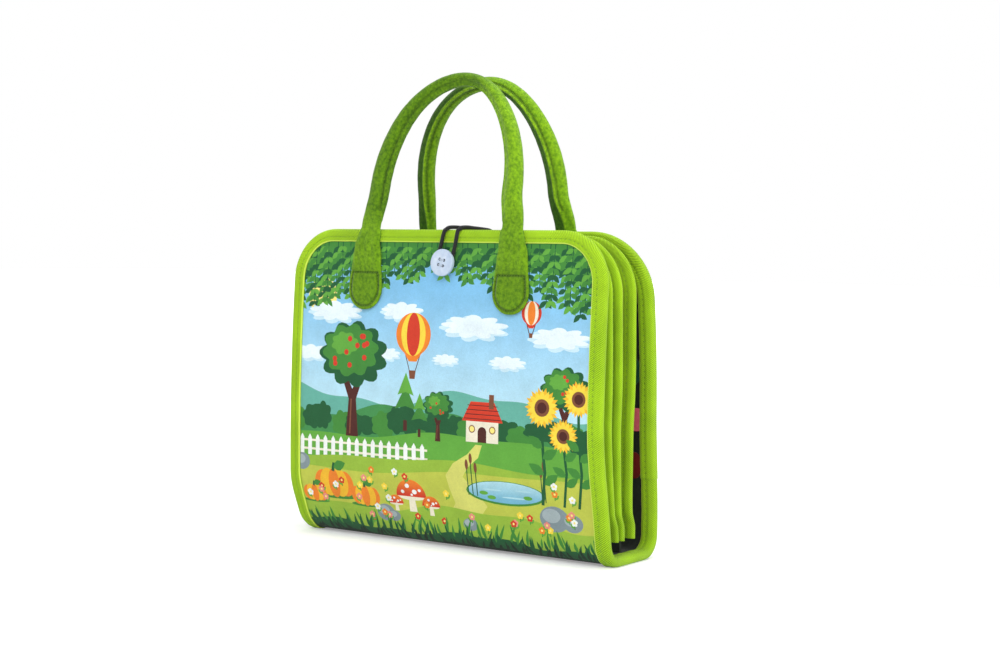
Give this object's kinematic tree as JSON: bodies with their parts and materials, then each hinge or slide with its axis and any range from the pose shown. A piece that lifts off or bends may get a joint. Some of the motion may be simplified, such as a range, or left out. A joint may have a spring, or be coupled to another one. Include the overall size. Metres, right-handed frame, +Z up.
{
  "type": "felt quiet book",
  "caption": "Felt activity book for toddlers that folds shut into a small bag: two stiffened covers, bound pages, two handles and a button closed by an elastic loop.",
  "frame": {"origin": "on the surface the book stands on, under the middle of the spine", "axes": "+Z up; the front cover with the button faces -Y; +X is the wearer's right as seen from the front"},
  "size_m": [0.3002, 0.086, 0.3745],
  "materials": {
    "printed_felt": "fine printed felt",
    "ground_felt": "fine printed felt",
    "black_felt": "matt felt",
    "binding_tape": "twill tape",
    "handle_felt": "mottled felt",
    "wadding": "soft wadding",
    "board": "thin stiff sheet",
    "button_plastic": "glossy moulded",
    "thread": "sewing thread",
    "elastic": "braided round elastic",
    "pink_felt": "matt felt",
    "red_felt": "matt felt",
    "teal_felt": "matt felt"
  },
  "bodies": {
    "spine": {"spine_felt": "ground_felt", "spine_board": "board", "spine_lining": "black_felt", "spine_binding_left": "binding_tape", "spine_binding_right": "binding_tape", "page_1_web": "black_felt", "page_2_web": "black_felt", "page_3_web": "black_felt"},
    "front_cover": {"front_cover_felt": "printed_felt", "front_cover_board": "board", "front_cover_lining": "black_felt", "front_cover_binding": "binding_tape", "front_tab_left": "handle_felt", "front_tab_right": "handle_felt", "button": "button_plastic", "button_thread": "thread"},
    "back_cover": {"back_cover_felt": "printed_felt", "back_cover_board": "board", "back_cover_lining": "black_felt", "back_cover_binding": "binding_tape", "back_tab_left": "handle_felt", "back_tab_right": "handle_felt", "elastic_loop": "elastic", "elastic_anchor": "elastic", "pink_patch": "pink_felt", "red_patch": "red_felt", "teal_patch": "teal_felt"},
    "front_handle": {"front_handle_sleeve": "handle_felt", "front_handle_core": "wadding"},
    "back_handle": {"back_handle_sleeve": "handle_felt", "back_handle_core": "wadding"},
    "page_1": {"page_1_felt_front": "black_felt", "page_1_board": "board", "page_1_felt_back": "black_felt", "page_1_binding": "binding_tape"},
    "page_2": {"page_2_felt_front": "black_felt", "page_2_board": "board", "page_2_felt_back": "black_felt", "page_2_binding": "binding_tape"},
    "page_3": {"page_3_felt_front": "black_felt", "page_3_board": "board", "page_3_felt_back": "black_felt", "page_3_binding": "binding_tape"}
  },
  "joints": [
    {"name": "front_cover_fold", "type": "hinge", "parent": "spine", "child": "front_cover", "pos_m": [0, -0.0391, 0.0191], "axis": [1, 0, 0], "range_deg": [0, 90], "deforming": ["elastic_loop"]},
    {"name": "back_cover_fold", "type": "hinge", "parent": "spine", "child": "back_cover", "pos_m": [0, 0.0391, 0.0191], "axis": [-1, 0, 0], "range_deg": [0, 90]},
    {"name": "page_1_turn", "type": "hinge", "parent": "spine", "child": "page_1", "pos_m": [0, -0.026, 0.0203], "axis": [1, 0, 0], "range_deg": [0, 56]},
    {"name": "page_2_turn", "type": "hinge", "parent": "spine", "child": "page_2", "pos_m": [0, -0.02, 0.0203], "axis": [1, 0, 0], "range_deg": [0, 27.5]},
    {"name": "page_3_turn", "type": "hinge", "parent": "spine", "child": "page_3", "pos_m": [0, -0.005, 0.0203], "axis": [-1, 0, 0], "range_deg": [0, 41]},
    {"name": "front_handle_swing", "type": "hinge", "parent": "front_cover", "child": "front_handle", "pos_m": [-0.003, -0.0363, 0.25123], "axis": [1, 0, 0], "range_deg": [0, 165]},
    {"name": "back_handle_swing", "type": "hinge", "parent": "back_cover", "child": "back_handle", "pos_m": [0.001, 0.0323, 0.25103], "axis": [-1, 0, 0], "range_deg": [0, 155]}
  ],
  "couplings": [
    {"joint": "page_1_turn", "follows": "front_cover_fold", "ratio": 0.62},
    {"joint": "page_2_turn", "follows": "front_cover_fold", "ratio": 0.3},
    {"joint": "page_3_turn", "follows": "back_cover_fold", "ratio": 0.45}
  ]
}
